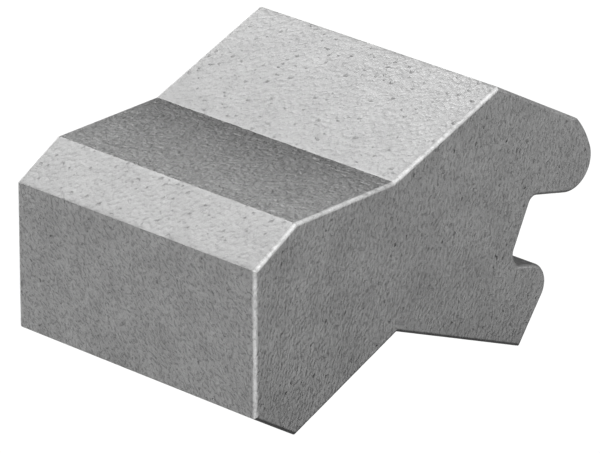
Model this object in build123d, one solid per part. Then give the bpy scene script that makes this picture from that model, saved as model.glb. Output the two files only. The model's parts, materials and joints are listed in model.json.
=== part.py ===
from build123d import *
from math import cos, radians, sin
import os

# A precast concrete wall block for the roadside: a thick front with a sloping lip, a nearly
# level ledge, a seat that climbs to a crest, and two rounded noses with a slot between them
# at the back. It stands on two ridges, the toe and the heel, with a notch between them that
# drops over the crest of the block below. A tied steel cage is cast inside it.
#
# +X runs from the front face to the noses, +Y along the block, +Z up. The origin is on the
# ground, at the middle of the block's depth and length. Outline sizes are measured from the
# foot of the front face, back (depth) and up (height), and moved to the origin at the end.

# --- the outline, in millimetres and degrees ---
BLOCK_LENGTH = 1000.0
END_ROUND = 12.0

FRONT_HEIGHT = 458.0
LIP_DEPTH, LIP_RISE = 166.0, 101.0
LEDGE_DEPTH, LEDGE_RISE = 399.0, 17.0
SEAT_DEPTH, SEAT_RISE = 435.0, 179.0
BACK_SLOPE = 28.7

TOE_DEPTH, TOE_DROP = 163.0, 98.0
NOTCH_DEPTH, NOTCH_RISE = 419.5, 200.0
HEEL_DEPTH = 523.0
TAIL_SLOPE = 55.2

NOSE_DEPTH, NOSE_HEIGHT, NOSE_RADIUS = 1315.0, 435.0, 96.5
CROWN_RADIUS, CROWN_TURN = 307.0, 20.0
CROWN_CORNER_RADIUS = 16.0
SLOT_SLOPE, SLOT_GAP = 11.9, 211.0
SLOT_WALL_SLOPE, SLOT_WALL_DEPTH = 64.4, 1152.0
SLOT_ROOF_RADIUS, SLOT_FLOOR_RADIUS = 27.0, 40.0
TAIL_NOSE_RADIUS = 72.0

# --- the cage ---
COVER = 45.0
LINK_DIAMETER, BAR_DIAMETER = 10.0, 12.0
LINK_BEND = 27.0
NOSE_BEND = 45.0
BAR_GAP = 1.0
LINK_STATIONS = 6
LINK_STEP_ASIDE = LINK_DIAMETER + 4.0
FRONT_LINK_BACK, REAR_LINK_FRONT = 640.0, 520.0
NOSE_TIE_START, NOSE_TIE_END = 760.0, 880.0
HEEL_TIE_TOP, HEEL_TIE_END = 480.0, 700.0
NOSE_BAR_COVER = 60.0

WIRE_DIAMETER = 2.0
WIRE_TURN = 11.0

SPACER_THICKNESS = 12.0
SPACER_RIM, SPACER_HUB = 7.0, 6.0
SPACER_SPOKES, SPACER_SPOKE_WIDTH = 6, 4.0
SPACER_CLEARANCE = 0.5
SPACER_SHY = 1.0
SPACER_STATIONS = (1, 4)

INSET = COVER + LINK_DIAMETER / 2

# a long bar lies in a bend: the kind of bent bar, which of its corners, the bend's radius
LONG_BARS = {
    "bar_lip_front": ("front_link", 0, LINK_BEND),
    "bar_lip_back": ("front_link", 1, LINK_BEND),
    "bar_ledge_back": ("front_link", 2, LINK_BEND),
    "bar_notch_top": ("front_link", 3, LINK_BEND),
    "bar_toe": ("front_link", 4, LINK_BEND),
    "bar_front_foot": ("front_link", 5, LINK_BEND),
    "bar_crest": ("rear_link", 0, LINK_BEND),
    "bar_back_slope": ("rear_link", 1, LINK_BEND),
    "bar_heel_seat": ("rear_link", 2, LINK_BEND),
    "bar_notch_front": ("rear_link", 3, LINK_BEND),
    "bar_seat_foot": ("rear_link", 4, LINK_BEND),
    "bar_nose_top": ("nose_tie_bar", 2, NOSE_BEND),
    "bar_nose_foot": ("nose_tie_bar", 3, NOSE_BEND),
    "bar_tail_nose": ("heel_tie_bar", 2, LINK_BEND),
    "bar_heel": ("heel_tie_bar", 3, LINK_BEND),
}

# a spacer sits on a straight run: the kind of bent bar, the corner it starts at, how far along
SPACERS = {
    "spacer_front": ("front_link", 5, 0.5),
    "spacer_seat": ("rear_link", 4, 0.25),
    "spacer_notch": ("front_link", 3, 0.5),
    "spacer_heel": ("heel_tie_bar", 3, 0.15),
}


# --- straight lines in the depth and height plane: a point on the line and its direction ---
def line_through(start, end):
    return Vector(*start), (Vector(*end) - Vector(*start)).normalized()


def line_at(point, degrees):
    return Vector(*point), Vector(cos(radians(degrees)), sin(radians(degrees)))


def moved_right(line, distance):
    """The line shifted to the right of its direction, which is into the block on every face."""
    point, along = line
    return point + Vector(along.Y, -along.X) * distance, along


def crossing(line_a, line_b):
    (a, u), (b, v) = line_a, line_b
    turn = u.X * v.Y - u.Y * v.X
    gap = b - a
    return a + u * ((gap.X * v.Y - gap.Y * v.X) / turn)


def at_depth(line, depth):
    return crossing(line, (Vector(depth, 0), Vector(0, 1)))


def at_height(line, height):
    return crossing(line, (Vector(0, height), Vector(1, 0)))


# --- the outline's corners, going round it clockwise from the foot of the front face ---
FRONT_FOOT = Vector(0, 0)
FRONT_TOP = Vector(0, FRONT_HEIGHT)
LIP_BACK = FRONT_TOP + Vector(LIP_DEPTH, LIP_RISE)
VALLEY = LIP_BACK + Vector(LEDGE_DEPTH, LEDGE_RISE)
CREST = VALLEY + Vector(SEAT_DEPTH, SEAT_RISE)
TOE = Vector(TOE_DEPTH, -TOE_DROP)
NOTCH = TOE + Vector(NOTCH_DEPTH, NOTCH_RISE)
HEEL = Vector(NOTCH.X + HEEL_DEPTH, -TOE_DROP)

FRONT = line_through(FRONT_FOOT, FRONT_TOP)
LIP = line_through(FRONT_TOP, LIP_BACK)
LEDGE = line_through(LIP_BACK, VALLEY)
SEAT = line_through(VALLEY, CREST)
BACK = line_at(CREST, -BACK_SLOPE)
TAIL = line_at(HEEL, TAIL_SLOPE + 180)
HEEL_SEAT = line_through(HEEL, NOTCH)
NOTCH_SEAT = line_through(NOTCH, TOE)
TOE_SLOPE = line_through(TOE, FRONT_FOOT)

NOSE = Vector(NOSE_DEPTH, NOSE_HEIGHT)
ROOF_DOWN = Vector(-sin(radians(SLOT_SLOPE)), -cos(radians(SLOT_SLOPE)))
NOSE_FOOT = NOSE + ROOF_DOWN * NOSE_RADIUS
ROOF = line_at(NOSE_FOOT, 180 - SLOT_SLOPE)
WALL = line_at(at_depth(ROOF, SLOT_WALL_DEPTH), SLOT_WALL_SLOPE + 180)
FLOOR = line_at(NOSE_FOOT + ROOF_DOWN * SLOT_GAP, -SLOT_SLOPE)

CROWN_OUT = Vector(cos(radians(CROWN_TURN)), sin(radians(CROWN_TURN)))
CROWN_END = NOSE + CROWN_OUT * NOSE_RADIUS
CROWN_CENTRE = CROWN_END - CROWN_OUT * CROWN_RADIUS

BLOCK_DEPTH = NOSE_DEPTH + NOSE_RADIUS


def crown_start():
    """Where the back slope runs into the crown's large arc."""
    point, along = BACK
    reach = CROWN_CENTRE - point
    foot = reach.X * along.X + reach.Y * along.Y
    off = reach.X * along.Y - reach.Y * along.X
    return point + along * (foot + (CROWN_RADIUS**2 - off**2) ** 0.5)


def placed(point, y=0.0):
    """A point of the outline plane, in the block's own frame."""
    return Vector(point.X - BLOCK_DEPTH / 2, y, point.Y + TOE_DROP)


# --- pieces ---
def concrete_body():
    """The casting: the outline drawn through, with its end arrises rounded."""
    start = crown_start()
    start_turn = (start - CROWN_CENTRE).normalized()
    half_turn = (start_turn + CROWN_OUT).normalized()
    nose_half_turn = (CROWN_OUT + ROOF_DOWN).normalized()
    roof_corner, floor_corner = crossing(ROOF, WALL), crossing(WALL, FLOOR)
    tail_corner = crossing(FLOOR, TAIL)
    with BuildSketch() as outline:
        with BuildLine():
            Polyline(NOSE_FOOT, roof_corner, floor_corner, tail_corner, HEEL, NOTCH, TOE,
                     FRONT_FOOT, FRONT_TOP, LIP_BACK, VALLEY, CREST, start)
            ThreePointArc(start, CROWN_CENTRE + half_turn * CROWN_RADIUS, CROWN_END)
            ThreePointArc(CROWN_END, NOSE + nose_half_turn * NOSE_RADIUS, NOSE_FOOT)
        make_face()
        rounded = (
            (start, CROWN_CORNER_RADIUS),
            (roof_corner, SLOT_ROOF_RADIUS),
            (floor_corner, SLOT_FLOOR_RADIUS),
            (tail_corner, TAIL_NOSE_RADIUS),
        )
        for corner, radius in rounded:
            fillet(outline.vertices().sort_by_distance(corner)[0], radius)
    far_end = Plane(origin=placed(FRONT_FOOT, BLOCK_LENGTH / 2), x_dir=(1, 0, 0), z_dir=(0, -1, 0))
    block = extrude(far_end * outline.sketch, amount=BLOCK_LENGTH)
    ends = block.faces().sort_by(Axis.Y)
    return fillet(ends[0].edges() + ends[-1].edges(), END_ROUND)


def corners_of(lines, closed=False):
    """The corners where each line meets the next."""
    pairs = zip(lines, lines[1:] + lines[:1] if closed else lines[1:])
    return [crossing(a, b) for a, b in pairs]


def inset(*faces):
    return [moved_right(face, INSET) for face in faces]


def bent_bars():
    """The four kinds of bent bar: corners, bend radius, steps aside from the station, closed or not."""
    front, lip, ledge, seat, back, wall, floor, tail, heel_seat, notch_seat, toe_slope, roof = inset(
        FRONT, LIP, LEDGE, SEAT, BACK, WALL, FLOOR, TAIL, HEEL_SEAT, NOTCH_SEAT, TOE_SLOPE, ROOF
    )
    front_link_back = line_at((FRONT_LINK_BACK, 0), -90)
    rear_link_front = line_at((REAR_LINK_FRONT, 0), 90)
    nose_front = line_at((BLOCK_DEPTH - NOSE_BAR_COVER, 0), -90)

    front_link = corners_of([front, lip, ledge, front_link_back, notch_seat, toe_slope], closed=True)
    rear_link = corners_of([seat, back, wall, heel_seat, rear_link_front], closed=True)
    nose_tie = [
        at_depth(seat, NOSE_TIE_START),
        *corners_of([seat, back, nose_front, roof]),
        at_depth(roof, NOSE_TIE_END),
    ]
    heel_tie = [
        at_height(wall, HEEL_TIE_TOP),
        *corners_of([wall, floor, tail, heel_seat]),
        at_depth(heel_seat, HEEL_TIE_END),
    ]
    return {
        "front_link": (front_link, LINK_BEND, 0, True),
        "rear_link": (rear_link, LINK_BEND, 1, True),
        "nose_tie_bar": (nose_tie, (LINK_BEND, NOSE_BEND, NOSE_BEND), 2, False),
        "heel_tie_bar": (heel_tie, LINK_BEND, -1, False),
    }


def bent(corners, bend, y, closed):
    """A round bar of link size, bent in an upright plane across the block."""
    route = FilletPolyline(*[placed(c, y) for c in corners], radius=bend, close=closed)
    return sweep(Plane(origin=route @ 0, z_dir=route % 0) * Circle(LINK_DIAMETER / 2), path=route)


def in_bend(before, corner, after, bend):
    """The middle of a bar lying inside a bend, and the outward direction across the bend."""
    towards = ((before - corner).normalized() + (after - corner).normalized()).normalized()
    half_angle = radians((before - corner).get_angle(after - corner) / 2)
    outward = towards * -1
    centre = corner + towards * (bend / sin(half_angle))
    return centre + outward * (bend - LINK_DIAMETER / 2 - BAR_DIAMETER / 2 - BAR_GAP), outward


def long_bar(place):
    """A straight bar along the whole block, less the cover at each end."""
    length = BLOCK_LENGTH - 2 * COVER
    return Plane(origin=placed(place), z_dir=(0, 1, 0)) * Cylinder(BAR_DIAMETER / 2, length)


def tie_wire(place, outward, y):
    """A closed turn of wire, aslant round a long bar and the link that it lies against."""
    bar, out = placed(place, y), Vector(outward.X, 0, outward.Y)
    slant = (out.cross(Vector(0, 1, 0)) + Vector(0, 1, 0)).normalized()
    spacing = (LINK_DIAMETER + BAR_DIAMETER) / 2 + BAR_GAP
    half_run = (spacing + (LINK_DIAMETER + BAR_DIAMETER) / 2 + 2 * WIRE_DIAMETER) / 2 - WIRE_TURN
    middle = bar + out * ((spacing + (LINK_DIAMETER - BAR_DIAMETER) / 2) / 2)
    loop = Plane(origin=middle, x_dir=out, z_dir=out.cross(slant))
    corners = ((-half_run, WIRE_TURN), (half_run, WIRE_TURN), (half_run, -WIRE_TURN), (-half_run, -WIRE_TURN))
    upper_in, upper_out, lower_out, lower_in = [loop.from_local_coords(corner) for corner in corners]
    tip_out = loop.from_local_coords((half_run + WIRE_TURN, 0))
    tip_in = loop.from_local_coords((-half_run - WIRE_TURN, 0))
    route = Wire([
        Line(upper_in, upper_out),
        ThreePointArc(upper_out, tip_out, lower_out),
        Line(lower_out, lower_in),
        ThreePointArc(lower_in, tip_in, upper_in),
    ])
    return sweep(Plane(origin=route @ 0, z_dir=route % 0) * Circle(WIRE_DIAMETER / 2), path=route)


def wheel_spacer(start, end, share, y):
    """A plastic wheel clipped on a link's straight run, as wide as the cover on both sides."""
    middle = start + (end - start) * share
    across = Plane(origin=placed(middle, y), x_dir=(0, 1, 0), z_dir=placed(end) - placed(start))
    outer = INSET - SPACER_SHY
    bore = LINK_DIAMETER / 2 + SPACER_CLEARANCE
    wheel = Circle(outer) - Circle(outer - SPACER_RIM)
    spoke = Rectangle(outer - SPACER_RIM / 2, SPACER_SPOKE_WIDTH, align=(Align.MIN, Align.CENTER))
    for step in range(SPACER_SPOKES):
        wheel += Rot(0, 0, 360 * step / SPACER_SPOKES) * spoke
    wheel = wheel + Circle(bore + SPACER_HUB) - Circle(bore)
    return extrude(across * wheel, amount=SPACER_THICKNESS / 2, both=True)


# --- the assembly ---
def stations():
    """The middle of each set of links, from one end of the block to the other."""
    first = -BLOCK_LENGTH / 2 + INSET + LINK_STEP_ASIDE
    last = BLOCK_LENGTH / 2 - INSET - 2 * LINK_STEP_ASIDE
    return [first + (last - first) * i / (LINK_STATIONS - 1) for i in range(LINK_STATIONS)]


def cage():
    bars = bent_bars()
    pieces = {}
    for kind, (corners, bend, aside, closed) in bars.items():
        for number, y in enumerate(stations(), start=1):
            pieces[f"{kind}_{number}"] = bent(corners, bend, y + aside * LINK_STEP_ASIDE, closed)

    ties = []
    for name, (kind, corner, bend) in LONG_BARS.items():
        corners, _, aside, _ = bars[kind]
        after = corners[(corner + 1) % len(corners)]
        place, outward = in_bend(corners[corner - 1], corners[corner], after, bend)
        pieces[name] = long_bar(place)
        ties += [tie_wire(place, outward, y + aside * LINK_STEP_ASIDE) for y in stations()]
    pieces["tie_wires"] = Compound(children=ties)

    for name, (kind, corner, share) in SPACERS.items():
        corners, _, aside, _ = bars[kind]
        end = corners[(corner + 1) % len(corners)]
        for number, station in enumerate(SPACER_STATIONS, start=1):
            y = stations()[station] + aside * LINK_STEP_ASIDE
            pieces[f"{name}_{number}"] = wheel_spacer(corners[corner], end, share, y)
    return pieces


def build():
    """Every piece by name. The concrete is one whole solid, and the cage is cast into it."""
    return {"concrete_body": concrete_body(), **cage()}


os.makedirs("parts", exist_ok=True)
for node, shape in build().items():
    export_step(shape, f"parts/{node}.step")
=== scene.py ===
import json
import math

import bpy
import numpy as np
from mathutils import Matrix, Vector, geometry, noise


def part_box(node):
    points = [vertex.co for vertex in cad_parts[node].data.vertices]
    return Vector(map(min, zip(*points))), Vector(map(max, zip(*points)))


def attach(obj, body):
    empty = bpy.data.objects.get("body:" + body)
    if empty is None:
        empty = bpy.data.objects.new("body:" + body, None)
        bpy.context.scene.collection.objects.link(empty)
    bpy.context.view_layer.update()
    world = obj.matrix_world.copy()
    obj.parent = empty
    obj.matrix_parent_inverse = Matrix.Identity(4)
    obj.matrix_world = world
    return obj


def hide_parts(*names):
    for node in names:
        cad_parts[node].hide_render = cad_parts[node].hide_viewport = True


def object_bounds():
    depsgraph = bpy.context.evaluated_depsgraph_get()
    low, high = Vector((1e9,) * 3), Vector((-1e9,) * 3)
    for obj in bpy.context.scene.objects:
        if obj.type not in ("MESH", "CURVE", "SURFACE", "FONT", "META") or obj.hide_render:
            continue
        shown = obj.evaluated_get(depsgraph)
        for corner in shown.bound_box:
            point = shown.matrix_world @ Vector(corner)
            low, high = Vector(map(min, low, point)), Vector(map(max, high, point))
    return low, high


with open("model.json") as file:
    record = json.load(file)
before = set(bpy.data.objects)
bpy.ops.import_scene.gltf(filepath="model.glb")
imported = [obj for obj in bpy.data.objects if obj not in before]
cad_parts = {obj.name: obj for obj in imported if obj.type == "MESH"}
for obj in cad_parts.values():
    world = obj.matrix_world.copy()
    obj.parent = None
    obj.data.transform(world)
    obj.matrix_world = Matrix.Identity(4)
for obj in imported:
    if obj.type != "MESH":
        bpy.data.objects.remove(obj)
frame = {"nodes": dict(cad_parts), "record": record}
cad_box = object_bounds()

# --- the mesh, in metres ---
END_ROUND = 0.012
END_STEPS = 8
ARRIS_RADIUS = 0.002
OUTLINE_STEP = 0.007
LENGTH_STEP = 0.010
CAP_STEP = 0.009
STRAIGHT_RUN = 0.030
SHARP_TURN = math.radians(15)
SETTLE = 0.060
WAVE = 0.0004
WEAR = 0.0011

# --- places on the block, in metres ---
VALLEY_X = -0.1407
LEDGE_DEPTH = 0.399
CREST_X = 0.30
SLOT_X = 0.38
SLOT_TOP = 0.42

# --- the concrete's look ---
BASE_TONE = 0.27
# how many times paler the painted highlight makes the upper and front arrises
ARRIS_HIGHLIGHT_GAIN = 3.35
MID_NOISE = (0.3, 0.7)
RELIEF_HEIGHT = 0.0090
DENT_DEPTH = 0.0025
SWELL_HEIGHT = 0.005
GRAIN_HEIGHT = 0.0003
PIT_DEPTH = 0.0055
PIT_SPACING = 0.015
PIT_SHARE = 0.75
PIT_SIZES = (0.14, 0.30)
DRIFT_SCALE = 70.0
DRIFT_REACH = 0.012

# how rough and how pitted each kind of face is, against the roughest
ROUGH_END, ROUGH_FRONT, ROUGH_LEDGE, ROUGH_REST = 0.95, 0.95, 0.88, 0.10
PITTED_END, PITTED_FRONT, PITTED_REST = 1.0, 0.5, 0.27

# --- the studio ---
WHITE = (1, 1, 1, 1)
WHITE_GLOW = 1.05
SKY_GLOW = 0.12
FLOOR_HALF = 60
FLOOR_Z = -0.002
LAMPS = (
    ("key", (0.09, 0.66, 0.74), 1.95, 12),
    ("fill", (-0.88, -0.36, 0.30), 1.6, 12),
    ("edge", (0.08, -0.62, 0.78), 1.0, 15),
    ("rim", (0.69, 0.69, 0.21), 0.03, 6),
)


# --- the outline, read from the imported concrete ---
def packed_outline():
    """The section's corners in order, clockwise from the near end, and the two ends' places."""
    low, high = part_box("concrete_body")
    mesh = frame["nodes"]["concrete_body"].data
    ring_y = low.y + END_ROUND
    spots = {}
    for v in mesh.vertices:
        if abs(v.co.y - ring_y) < 1e-4:
            spots[v.index] = (round(v.co.x, 5), round(v.co.z, 5))
    links = {}
    for edge in mesh.edges:
        a, b = (spots.get(i) for i in edge.vertices)
        if a and b and a != b:
            links.setdefault(a, set()).add(b)
            links.setdefault(b, set()).add(a)
    start = min(links)
    ring, before = [start], None
    here = max(links[start], key=lambda p: p[1])
    while here != start:
        before, ring = ring[-1], ring + [here]
        here = next(p for p in links[here] if p != before)
    return np.array(ring), low.y, high.y


def unit(v):
    return v / np.linalg.norm(v)


def right_of(v):
    """The direction into the concrete, which lies on the right of a clockwise outline."""
    return np.array((v[1], -v[0]))


def runs_of(ring):
    """The outline between each two sharp corners: its points, and the turn at its start and end."""
    ahead = np.roll(ring, -1, 0) - ring
    heading = np.arctan2(ahead[:, 1], ahead[:, 0])
    turn = (np.roll(heading, 1) - heading + math.pi) % (2 * math.pi) - math.pi
    sharp = [i for i in range(len(ring)) if abs(turn[i]) > SHARP_TURN]
    runs = []
    for a, b in zip(sharp, sharp[1:] + sharp[:1]):
        picked = [i % len(ring) for i in range(a, b + 1 if b > a else b + len(ring) + 1)]
        runs.append((ring[picked], turn[a], turn[b]))
    return runs


def smooth_run(points, trim_start, trim_end):
    """Evenly spaced points and directions along a run, straight where it is straight, round elsewhere."""
    pieces = points[1:] - points[:-1]
    lengths = np.linalg.norm(pieces, axis=1)
    along = pieces / lengths[:, None]
    tangents = [along[0]]
    for i in range(1, len(points) - 1):
        if lengths[i - 1] > STRAIGHT_RUN:
            tangents.append(along[i - 1])
        elif lengths[i] > STRAIGHT_RUN:
            tangents.append(along[i])
        else:
            tangents.append(unit(along[i - 1] + along[i]))
    tangents.append(along[-1])
    reach = np.concatenate(([0], np.cumsum(lengths)))
    count = max(2, round((reach[-1] - trim_start - trim_end) / OUTLINE_STEP) + 1)
    out = []
    for s in np.linspace(trim_start, reach[-1] - trim_end, count):
        i = min(np.searchsorted(reach, s, side="right") - 1, len(lengths) - 1)
        t, length = (s - reach[i]) / lengths[i], lengths[i]
        p, q, m, n = points[i], points[i + 1], tangents[i] * length, tangents[i + 1] * length
        place = (2*t**3 - 3*t**2 + 1) * p + (t**3 - 2*t**2 + t) * m
        place += (3*t**2 - 2*t**3) * q + (t**3 - t**2) * n
        slope = (6*t**2 - 6*t) * (p - q) + (3*t**2 - 4*t + 1) * m + (3*t**2 - 2*t) * n
        out.append((place, unit(slope), s, reach[-1] - s))
    return out


def outline_points():
    """The outline with small round arrises: (place, its move per metre of inset, distance to an arris)."""
    ring, near, far = packed_outline()
    runs = runs_of(ring)
    out = []
    for k, (points, turn_start, turn_end) in enumerate(runs):
        trim_start, trim_end = (ARRIS_RADIUS * abs(math.tan(t / 2)) for t in (turn_start, turn_end))
        run = smooth_run(points, trim_start, trim_end)
        whole = run[0][2] + run[0][3]
        settle = min(SETTLE, whole / 2)
        for place, along, before, after in run:
            shift = math.tan(turn_start / 2) * max(0, 1 - (before - trim_start) / settle)
            shift -= math.tan(turn_end / 2) * max(0, 1 - (after - trim_end) / settle)
            out.append((place, right_of(along) + along * shift, min(before, after)))
        # the small arc round the corner at the run's end
        corner, arriving = points[-1], unit(points[-1] - points[-2])
        leaving = unit(runs[(k + 1) % len(runs)][0][1] - corner)
        mitre = right_of(arriving) - arriving * math.tan(turn_end / 2)
        for t in (0.25, 0.5, 0.75):
            p, q = corner - arriving * trim_end, corner + leaving * trim_end
            out.append(((1 - t)**2 * p + 2 * t * (1 - t) * corner + t**2 * q, mitre, 0.0))
    return out, near, far


# --- the concrete's mesh ---
def wobble(place, wavelength, seed):
    return noise.noise(Vector(place) / wavelength + Vector((seed, 2.7 * seed, -1.3 * seed)))


def end_rows():
    """How the surface turns from the end face to the sides: (in from the end, inset, how rounded)."""
    rows = []
    for k in range(END_STEPS + 1):
        t = math.radians(90) * k / END_STEPS
        rows.append((END_ROUND * (1 - math.cos(t)), END_ROUND * (1 - math.sin(t)), math.sin(2 * t)))
    return rows


def concrete_mesh():
    outline, near, far = outline_points()
    places = np.array([p for p, _, _ in outline])
    insets = np.array([i for _, i, _ in outline])
    reach = np.array([a for _, _, a in outline])
    rows = end_rows()
    first = rows[-1][0]
    straight = far - near - 2 * first
    count = round(straight / LENGTH_STEP)
    stations = [(near + d, i, rounded) for d, i, rounded in rows]
    stations += [(near + first + straight * k / count, 0.0, 0.0) for k in range(1, count)]
    stations += [(far - d, i, rounded) for d, i, rounded in reversed(rows)]

    size = len(outline)
    # painted highlight: the arris is made pale on the upper and front faces, where the lamps fall on it;
    # painted shade: it is made dark where it turns under
    ahead = np.roll(places, -1, 0) - np.roll(places, 1, 0)
    ahead /= np.linalg.norm(ahead, axis=1)[:, None]
    outward = np.stack((-ahead[:, 1], ahead[:, 0]), 1)
    lit_facing = np.clip(0.75 - outward[:, 0], 0, 1) * np.clip(1 + 8 * outward[:, 1], 0, 1)
    lit_facing *= np.clip(1.4 + outward[:, 0] + outward[:, 1], 0.4, 1)
    under = np.clip(-2 * outward[:, 1], 0, 1)
    vertices, worn, arris_highlight_shade = [], [], []
    for y, inset, round_arris in stations:
        section = places + insets * inset
        for (x, z), side, lit, shaded in zip(section, reach, lit_facing, under):
            vertices.append((x, y, z))
            # positive values paint a highlight on the arris, negative values paint shade where it turns
            # under
            arris_highlight_shade.append(round_arris**0.8 * lit - round_arris**1.2 * shaded)
            worn.append(max(math.exp(-side / 0.004) * (1 - round_arris), 0.3 * round_arris))
    faces = []
    for row in range(len(stations) - 1):
        a = row * size
        for k in range(size):
            n = (k + 1) % size
            faces.append((a + k, a + n, a + size + n, a + size + k))

    # the end faces, filled with evenly spaced points
    for end, y in ((0, near), (len(stations) - 1, far)):
        loop = list(range(end * size, (end + 1) * size))
        edge = [Vector((vertices[i][0], vertices[i][2])) for i in loop]
        xs = np.arange(min(p.x for p in edge), max(p.x for p in edge), CAP_STEP)
        zs = np.arange(min(p.y for p in edge), max(p.y for p in edge), CAP_STEP * 0.866)
        polygon = np.array([tuple(p) for p in edge])
        inner = []
        for j, z in enumerate(zs):
            for x in xs + (j % 2) * CAP_STEP / 2:
                gap = polygon - (x, z)
                if (gap**2).sum(1).min() > (0.7 * CAP_STEP)**2 and inside(polygon, x, z):
                    inner.append(Vector((x, z)))
        loop_face = [list(range(size))]
        flat, _, made, origin, _, _ = geometry.delaunay_2d_cdt(edge + inner, [], loop_face, 1, 1e-7)
        index = []
        for k, p in enumerate(flat):
            if origin[k] and origin[k][0] < size:
                index.append(loop[origin[k][0]])
            else:
                index.append(len(vertices))
                vertices.append((p.x, y, p.y))
                worn.append(0.0)
                arris_highlight_shade.append(0.0)
        for face in made:
            ids = [index[i] for i in face]
            faces.append(ids[::-1] if end else ids)
    return vertices, faces, worn, arris_highlight_shade


def inside(polygon, x, z):
    ax, az = polygon[:, 0], polygon[:, 1]
    bx, bz = np.roll(ax, -1), np.roll(az, -1)
    crosses = (az > z) != (bz > z)
    where = ax + (z - az) * (bx - ax) / np.where(bz == az, 1, bz - az)
    return bool((crosses & (x < where)).sum() % 2)


def make_concrete():
    vertices, faces, worn, arris_highlight_shade = concrete_mesh()
    mesh = bpy.data.meshes.new("concrete_casting")
    mesh.from_pydata(vertices, [], faces)
    mesh.validate()
    mesh.update()
    normals = [v.normal.copy() for v in mesh.vertices]
    middle = (Vector(cad_box[0]) + Vector(cad_box[1])) / 2
    if sum(f.area * f.normal.dot(f.center - middle) for f in mesh.polygons) < 0:
        mesh.flip_normals()
        normals = [-n for n in normals]
    for v, n, w in zip(mesh.vertices, normals, worn):
        dent = WAVE * (0.5 + 0.5 * wobble(v.co, 0.09, 3.1))
        chips = 0.35 + wobble(v.co, 0.016, 8.7) + 0.6 * wobble(v.co, 0.045, 5.2)
        dent += WEAR * w * max(0.0, chips)
        v.co -= n * dent
    attribute = mesh.attributes.new("arris_highlight_shade", "FLOAT", "POINT")
    attribute.data.foreach_set("value", np.array(arris_highlight_shade, np.float32))
    for face in mesh.polygons:
        face.use_smooth = True
    piece = bpy.data.objects.new("concrete_casting", mesh)
    bpy.context.scene.collection.objects.link(piece)
    crisp = piece.modifiers.new("flat_faces", "WEIGHTED_NORMAL")
    crisp.weight = 100
    return piece


# --- materials ---
def new_material(name):
    material = bpy.data.materials.new(name)
    material.use_nodes = True
    tree = material.node_tree
    return material, tree, tree.nodes["Principled BSDF"]


def add(tree, kind, **inputs):
    """A node with its inputs set by name, where a socket is linked and anything else is a value."""
    settings = inputs.pop("settings", {})
    made = tree.nodes.new(kind)
    for key, value in settings.items():
        setattr(made, key, value)
    for key, value in inputs.items():
        socket = made.inputs[int(key[1:])] if key[0] == "i" and key[1:].isdigit() else made.inputs[key]
        give(tree, socket, value)
    return made


def give(tree, socket, value):
    if isinstance(value, bpy.types.NodeSocket):
        tree.links.new(value, socket)
    else:
        socket.default_value = value


def maths(tree, operation, a, b=0.0, clamp=False):
    settings = {"operation": operation, "use_clamp": clamp}
    return add(tree, "ShaderNodeMath", i0=a, i1=b, settings=settings).outputs[0]


def times(tree, a, b):
    return maths(tree, "MULTIPLY", a, b)


def ranged(tree, value, low, high, out_low=0.0, out_high=1.0):
    made = add(tree, "ShaderNodeMapRange", Value=value, settings={"clamp": True})
    for key, number in zip(("From Min", "From Max", "To Min", "To Max"), (low, high, out_low, out_high)):
        made.inputs[key].default_value = number
    return made.outputs[0]


def smooth_step(tree, value, low, high):
    made = add(tree, "ShaderNodeMapRange", Value=value, settings={"interpolation_type": "SMOOTHSTEP"})
    made.inputs["From Min"].default_value = low
    made.inputs["From Max"].default_value = high
    return made.outputs[0]


def noise_at(tree, place, scale, detail=2.0, roughness=0.5):
    made = add(tree, "ShaderNodeTexNoise", Vector=place, Scale=scale, Detail=detail, Roughness=roughness)
    return made.outputs["Fac"]


def noise_colour(tree, place, scale, detail=2.0):
    return add(tree, "ShaderNodeTexNoise", Vector=place, Scale=scale, Detail=detail).outputs["Color"]


def turned(tree, place, degrees, stretch):
    """Texture coordinates turned by the angles about X, Y and Z, and drawn out by stretch."""
    made = add(tree, "ShaderNodeMapping", Vector=place, settings={"vector_type": "TEXTURE"})
    made.inputs["Rotation"].default_value = [math.radians(d) for d in degrees]
    made.inputs["Scale"].default_value = stretch
    return made.outputs[0]


def picked(tree, mask, off, on, kind="FLOAT"):
    """A Mix node: off where the mask is 0, on where it is 1."""
    made = add(tree, "ShaderNodeMix", settings={"data_type": kind})
    first, result = {"FLOAT": (2, 0), "VECTOR": (4, 1)}[kind]
    for index, value in ((0, mask), (first, off), (first + 1, on)):
        give(tree, made.inputs[index], value)
    return made.outputs[result]


def pits(tree, place, spacing, share, size_low, size_high):
    """Blowholes: one in each of a share of the cells. 1 at the bottom of a hole, 0 outside."""
    cells = add(tree, "ShaderNodeTexVoronoi", Vector=place, Scale=1 / spacing, Randomness=1.0)
    pick = tree.nodes.new("ShaderNodeSeparateColor")
    tree.links.new(cells.outputs["Color"], pick.inputs[0])
    size = ranged(tree, pick.outputs[0], 1 - share, 1, size_low, size_high)
    chosen = maths(tree, "GREATER_THAN", pick.outputs[0], 1 - share)
    away = maths(tree, "DIVIDE", cells.outputs["Distance"], size)
    near = maths(tree, "SUBTRACT", 1.0, away, clamp=True)
    deep = ranged(tree, near, 0.0, 0.75)
    return times(tree, deep, chosen)


def drifted(tree, place):
    """The place, moved a little by a fine noise, so that no pattern shows straight lines."""
    way = noise_colour(tree, place, DRIFT_SCALE)
    way = add(tree, "ShaderNodeVectorMath", i0=way, i1=(0.5, 0.5, 0.5), settings={"operation": "SUBTRACT"})
    way = way.outputs[0]
    way = add(tree, "ShaderNodeVectorMath", i0=way, Scale=DRIFT_REACH, settings={"operation": "SCALE"})
    return add(tree, "ShaderNodeVectorMath", i0=place, i1=way.outputs[0]).outputs[0]


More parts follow.
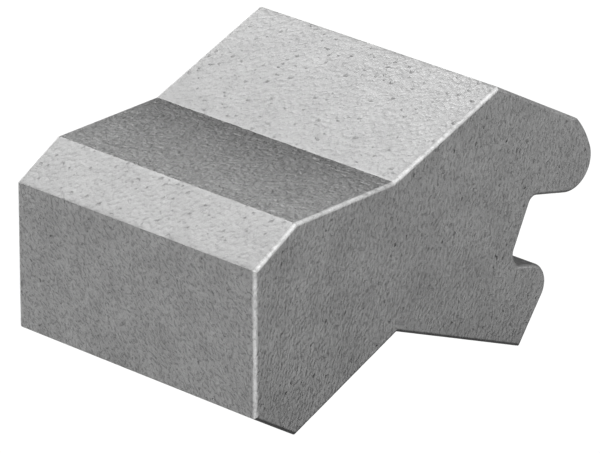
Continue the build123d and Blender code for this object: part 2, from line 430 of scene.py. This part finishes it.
def concrete_material():
    material, tree, shader = new_material("cast_concrete")
    coordinates = tree.nodes.new("ShaderNodeTexCoord")
    place = coordinates.outputs["Object"]
    facing = tree.nodes.new("ShaderNodeSeparateXYZ")
    tree.links.new(coordinates.outputs["Normal"], facing.inputs[0])
    spot = tree.nodes.new("ShaderNodeSeparateXYZ")
    tree.links.new(place, spot.inputs[0])
    x, y, z = spot.outputs
    facing_x, facing_y, facing_z = facing.outputs

    # the kinds of face
    on_end = maths(tree, "GREATER_THAN", maths(tree, "ABSOLUTE", facing_y), 0.85)
    on_front = maths(tree, "LESS_THAN", facing_x, -0.9)
    before_valley = maths(tree, "LESS_THAN", x, VALLEY_X)
    on_ledge = times(tree, before_valley, maths(tree, "GREATER_THAN", facing_z, 0.95))
    # where the slot's floor gets painted shade
    slot_shade_mask = times(tree, maths(tree, "GREATER_THAN", x, SLOT_X), maths(tree, "LESS_THAN", z, SLOT_TOP))
    slot_shade_mask = times(tree, slot_shade_mask, ranged(tree, facing_z, 0.2, 0.6))

    # the grain lies in a different direction on each kind of face
    moved = drifted(tree, place)
    lying = turned(tree, moved, (0, 0, -40), (2.1, 1.7, 1.7))
    upright = turned(tree, moved, (0, -70, 0), (1.8, 1.1, 1.1))
    streaked = turned(tree, moved, (0, -50, 90), (1.9, 0.9, 0.9))
    unstreaked = picked(tree, on_end, lying, upright, "VECTOR")
    along = picked(tree, on_front, unstreaked, streaked, "VECTOR")

    cloud = noise_at(tree, place, 9.0, 3.0)
    mottle = noise_at(tree, place, 38.0, 3.0, 0.6)
    swell = noise_at(tree, place, 45.0, 1.0)
    relief = noise_at(tree, along, 130.0, 1.0, 0.5)
    grain = noise_at(tree, along, 420.0, 2.0, 0.6)
    dents = smooth_step(tree, relief, 0.42, 0.33)
    holes = pits(tree, unstreaked, PIT_SPACING, PIT_SHARE, *PIT_SIZES)

    tone = ranged(tree, cloud, *MID_NOISE, 0.90, 1.10)
    for layer, low, high in ((mottle, 0.92, 1.08), (relief, 0.94, 1.06), (grain, 0.86, 1.14)):
        tone = times(tree, tone, ranged(tree, layer, *MID_NOISE, low, high))
    # painted shade: the blowholes and the dents are made darker inside, where shade falls in them
    pit_shade = times(tree, holes, picked(tree, on_end, 0.10, 0.24))
    tone = times(tree, tone, maths(tree, "SUBTRACT", 1.0, pit_shade))
    tone = times(tree, tone, ranged(tree, dents, 0, 1, 1, 0.93))

    # painted shade: the ledge is made darker towards the foot of the seat, less so at the near end, and
    # the slot's floor is made darker too
    valley_shade = times(tree, ranged(tree, x, VALLEY_X - LEDGE_DEPTH, VALLEY_X), on_ledge)
    valley_shade = maths(tree, "POWER", valley_shade, 1.6)
    valley_shade = times(tree, valley_shade, ranged(tree, y, -0.5, -0.1, 0.6, 1.0))
    tone = times(tree, tone, ranged(tree, valley_shade, 0, 1, 1.03, 0.50))
    # painted shade: the upward faces inside the slot are made darker
    tone = times(tree, tone, ranged(tree, slot_shade_mask, 0, 1, 1, 0.4))
    tone = times(tree, tone, BASE_TONE)

    # painted shade: the end arrises are made dark where they turn under; painted highlight: they are made
    # pale elsewhere, broken up by the relief
    arris_highlight_shade = add(tree, "ShaderNodeAttribute", settings={"attribute_name": "arris_highlight_shade"}).outputs["Fac"]
    tone = times(tree, tone, ranged(tree, arris_highlight_shade, -0.7, 0, 0.12, 1))
    arris_highlight_shade = maths(tree, "MAXIMUM", arris_highlight_shade, 0.0)
    arris_highlight_shade = times(tree, arris_highlight_shade, ranged(tree, relief, 0.3, 0.6, 0.7, 1.0))
    tone = times(tree, tone, ranged(tree, arris_highlight_shade, 0, 1, 1, ARRIS_HIGHLIGHT_GAIN))
    colour = add(tree, "ShaderNodeCombineColor", Red=tone, Green=tone, Blue=tone)
    tree.links.new(colour.outputs[0], shader.inputs["Base Color"])

    # the seat is smoother towards the crest and the near end
    reach = maths(tree, "SUBTRACT", ranged(tree, x, -0.14, CREST_X), times(tree, y, 0.8))
    past_valley = maths(tree, "GREATER_THAN", x, VALLEY_X)
    gloss = times(tree, ranged(tree, reach, -0.4, 1.4, -0.025, 0.055), past_valley)
    dull = ranged(tree, mottle, *MID_NOISE, 0.412, 0.462)
    dull = maths(tree, "SUBTRACT", dull, gloss)
    dull = maths(tree, "SUBTRACT", dull, times(tree, arris_highlight_shade, 0.12))
    tree.links.new(dull, shader.inputs["Roughness"])

    # the surface: swells, grain and dents first, then the blowholes over them
    height = times(tree, swell, SWELL_HEIGHT)
    height = maths(tree, "ADD", height, times(tree, relief, RELIEF_HEIGHT))
    height = maths(tree, "ADD", height, times(tree, grain, GRAIN_HEIGHT))
    height = maths(tree, "SUBTRACT", height, times(tree, dents, DENT_DEPTH))
    # the bumps and blowholes fade out inside the arris's painted highlight
    off_arris_highlight = ranged(tree, arris_highlight_shade, 0, 0.6, 1, 0.1)
    rough_cast = picked(tree, on_front, picked(tree, on_end, ROUGH_REST, ROUGH_END), ROUGH_FRONT)
    rough_cast = picked(tree, on_ledge, rough_cast, ROUGH_LEDGE)
    rough_cast = times(tree, rough_cast, off_arris_highlight)
    rough = add(tree, "ShaderNodeBump", Height=height, Distance=1.0, Strength=rough_cast).outputs[0]
    pitted = picked(tree, on_front, picked(tree, on_end, PITTED_REST, PITTED_END), PITTED_FRONT)
    pitted = times(tree, pitted, off_arris_highlight)
    depth = times(tree, holes, -PIT_DEPTH)
    bump = add(tree, "ShaderNodeBump", Height=depth, Distance=1.0, Strength=pitted, Normal=rough)
    tree.links.new(bump.outputs[0], shader.inputs["Normal"])
    return material


def steel_material(name, dark, rust):
    material, tree, shader = new_material(name)
    place = tree.nodes.new("ShaderNodeTexCoord").outputs["Object"]
    patch = noise_at(tree, place, 60.0, 4.0, 0.6)
    rusty = ranged(tree, patch, 0.4, 0.65)
    colour = add(tree, "ShaderNodeMix", Factor=rusty, settings={"data_type": "RGBA"})
    colour.inputs[6].default_value = (*dark, 1)
    colour.inputs[7].default_value = (*rust, 1)
    tree.links.new(colour.outputs[2], shader.inputs["Base Color"])
    tree.links.new(ranged(tree, patch, *MID_NOISE, 0.35, 0.85), shader.inputs["Roughness"])
    shader.inputs["Metallic"].default_value = 0.6
    bump = add(tree, "ShaderNodeBump", Height=noise_at(tree, place, 400.0), Distance=0.0004, Strength=0.6)
    tree.links.new(bump.outputs[0], shader.inputs["Normal"])
    return material


def plastic_material():
    material, tree, shader = new_material("spacer_plastic")
    place = tree.nodes.new("ShaderNodeTexCoord").outputs["Object"]
    shade = ranged(tree, noise_at(tree, place, 90.0), *MID_NOISE, 0.05, 0.08)
    colour = add(tree, "ShaderNodeCombineColor", Red=shade, Green=shade, Blue=shade)
    tree.links.new(colour.outputs[0], shader.inputs["Base Color"])
    dull = ranged(tree, noise_at(tree, place, 500.0), *MID_NOISE, 0.45, 0.6)
    tree.links.new(dull, shader.inputs["Roughness"])
    return material


# --- the pieces ---
concrete = make_concrete()
concrete.data.materials.append(concrete_material())
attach(concrete, "root")
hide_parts("concrete_body")

slot_materials = {
    "link_steel": steel_material("link_steel", (0.06, 0.05, 0.045), (0.16, 0.07, 0.03)),
    "bar_steel": steel_material("bar_steel", (0.05, 0.045, 0.04), (0.13, 0.06, 0.03)),
    "tie_wire_steel": steel_material("tie_wire_steel", (0.03, 0.03, 0.03), (0.07, 0.05, 0.04)),
    "spacer_plastic": plastic_material(),
}
for part in frame["record"]["subparts"]:
    if part["material_slot"] in slot_materials:
        for holder in frame["nodes"][part["node"]].material_slots:
            holder.material = slot_materials[part["material_slot"]]

# --- the studio: floor, sky, lights ---
scene = bpy.context.scene
scene.view_settings.view_transform = "Standard"


def seen_as(tree, real, shown, output):
    """Show the camera one shader, and light the block with another."""
    to_camera = tree.nodes.new("ShaderNodeLightPath").outputs["Is Camera Ray"]
    mix = add(tree, "ShaderNodeMixShader", Fac=to_camera)
    tree.links.new(real.outputs[0], mix.inputs[1])
    tree.links.new(shown.outputs[0], mix.inputs[2])
    tree.links.new(mix.outputs[0], output.inputs[0])


corners = [(x * FLOOR_HALF, y * FLOOR_HALF, FLOOR_Z) for x, y in ((-1, -1), (1, -1), (1, 1), (-1, 1))]
floor_mesh = bpy.data.meshes.new("floor")
floor_mesh.from_pydata(corners, [], [(0, 1, 2, 3)])
floor = bpy.data.objects.new("floor", floor_mesh)
scene.collection.objects.link(floor)
floor_material, tree, shader = new_material("pale_floor")
shader.inputs["Base Color"].default_value = (0.8, 0.8, 0.8, 1)
# white from above, and clear from below so that the underside can be looked at
glow = add(tree, "ShaderNodeEmission", Strength=WHITE_GLOW)
clear = tree.nodes.new("ShaderNodeBsdfTransparent")
underneath = tree.nodes.new("ShaderNodeNewGeometry").outputs["Backfacing"]
one_sided = add(tree, "ShaderNodeMixShader", Fac=underneath)
tree.links.new(glow.outputs[0], one_sided.inputs[1])
tree.links.new(clear.outputs[0], one_sided.inputs[2])
seen_as(tree, shader, one_sided, tree.nodes["Material Output"])
floor_mesh.materials.append(floor_material)

world = bpy.data.worlds.new("studio")
scene.world = world
world.use_nodes = True
tree = world.node_tree
sky = add(tree, "ShaderNodeBackground", Color=WHITE, Strength=SKY_GLOW)
white = add(tree, "ShaderNodeBackground", Color=WHITE, Strength=WHITE_GLOW)
seen_as(tree, sky, white, tree.nodes["World Output"])

for name, towards, strength, angle in LAMPS:
    data = bpy.data.lights.new(name, "SUN")
    data.energy = strength
    data.angle = math.radians(angle)
    lamp = bpy.data.objects.new(name, data)
    lamp.rotation_euler = Vector(towards).to_track_quat("Z", "Y").to_euler()
    scene.collection.objects.link(lamp)

# --- the camera: a long lens from the front left, above ---
AIM = Vector((-0.5252, -0.5, 0.6441))
TOWARDS = Vector((0.6559, 0.6590, -0.3681)).normalized()
CAMERA_DISTANCE = 18.09
LENS_MM, SENSOR_MM = 381.06, 36.0
lens = bpy.data.cameras.new("camera")
lens.lens = LENS_MM
lens.sensor_width = SENSOR_MM
camera = bpy.data.objects.new("camera", lens)
camera.location = AIM - TOWARDS * CAMERA_DISTANCE
camera.rotation_euler = TOWARDS.to_track_quat("-Z", "Y").to_euler()
scene.collection.objects.link(camera)
scene.camera = camera
